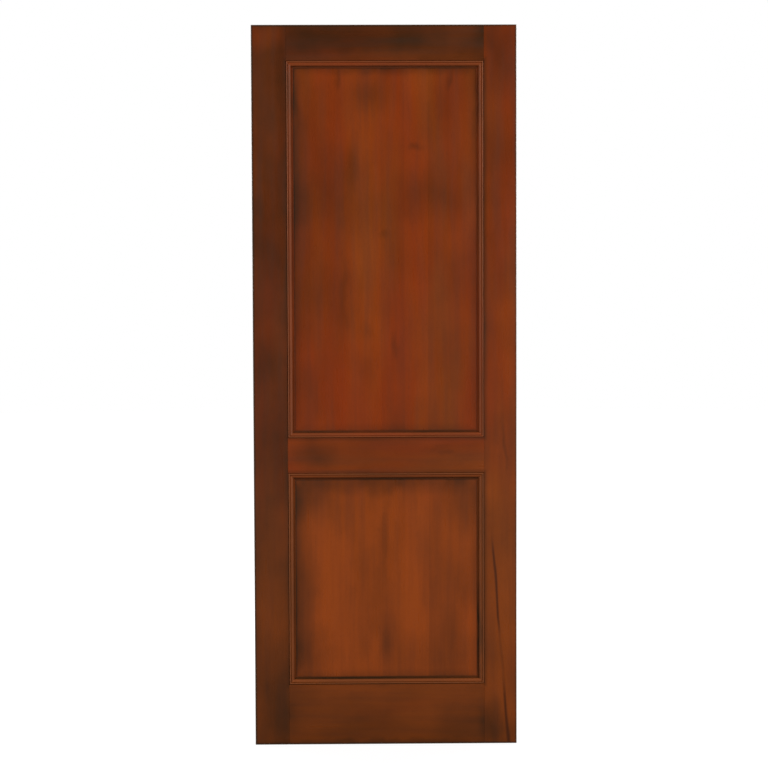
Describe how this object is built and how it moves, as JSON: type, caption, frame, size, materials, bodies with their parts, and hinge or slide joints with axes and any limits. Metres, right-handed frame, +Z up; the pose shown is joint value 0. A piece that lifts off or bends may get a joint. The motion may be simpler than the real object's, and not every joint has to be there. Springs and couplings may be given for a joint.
{
  "type": "toilet door",
  "caption": "Framed hardwood door leaf with two flat panels, mitred bead-and-ovolo mouldings and wedged through tenons.",
  "frame": {"origin": "middle of the leaf's bottom edge, at half its thickness", "axes": "+X across the leaf to the right as seen from the front, +Y from the front face to the back face, +Z up the leaf"},
  "size_m": [0.762, 0.038, 2.083],
  "materials": {
    "stile_timber": "stained and lacquered mahogany, satin, grain upright",
    "rail_timber": "stained and lacquered mahogany, satin, grain across the leaf",
    "panel_timber": "stained and lacquered mahogany, satin, darker glaze towards the mouldings",
    "moulding_timber": "stained and lacquered mahogany, satin, dark glaze in the quirks",
    "wedge_timber": "stained hardwood, end grain showing",
    "brad_steel": "bare cut steel"
  },
  "bodies": {
    "root": {"bottom_rail": "rail_timber", "bottom_rail_high_tenon_over_wedge_left": "wedge_timber", "bottom_rail_high_tenon_over_wedge_right": "wedge_timber", "bottom_rail_high_tenon_under_wedge_left": "wedge_timber", "bottom_rail_high_tenon_under_wedge_right": "wedge_timber", "bottom_rail_low_tenon_over_wedge_left": "wedge_timber", "bottom_rail_low_tenon_over_wedge_right": "wedge_timber", "bottom_rail_low_tenon_under_wedge_left": "wedge_timber", "bottom_rail_low_tenon_under_wedge_right": "wedge_timber", "lock_rail": "rail_timber", "lock_rail_over_wedge_left": "wedge_timber", "lock_rail_over_wedge_right": "wedge_timber", "lock_rail_under_wedge_left": "wedge_timber", "lock_rail_under_wedge_right": "wedge_timber", "lower_back_moulding_bottom": "moulding_timber", "lower_back_moulding_left": "moulding_timber", "lower_back_moulding_right": "moulding_timber", "lower_back_moulding_top": "moulding_timber", "lower_front_moulding_bottom": "moulding_timber", "lower_front_moulding_left": "moulding_timber", "lower_front_moulding_right": "moulding_timber", "lower_front_moulding_top": "moulding_timber", "lower_panel": "panel_timber", "moulding_brads": "brad_steel", "stile_left": "stile_timber", "stile_right": "stile_timber", "top_rail": "rail_timber", "top_rail_over_wedge_left": "wedge_timber", "top_rail_over_wedge_right": "wedge_timber", "top_rail_under_wedge_left": "wedge_timber", "top_rail_under_wedge_right": "wedge_timber", "upper_back_moulding_bottom": "moulding_timber", "upper_back_moulding_left": "moulding_timber", "upper_back_moulding_right": "moulding_timber", "upper_back_moulding_top": "moulding_timber", "upper_front_moulding_bottom": "moulding_timber", "upper_front_moulding_left": "moulding_timber", "upper_front_moulding_right": "moulding_timber", "upper_front_moulding_top": "moulding_timber", "upper_panel": "panel_timber"}
  },
  "joints": []
}
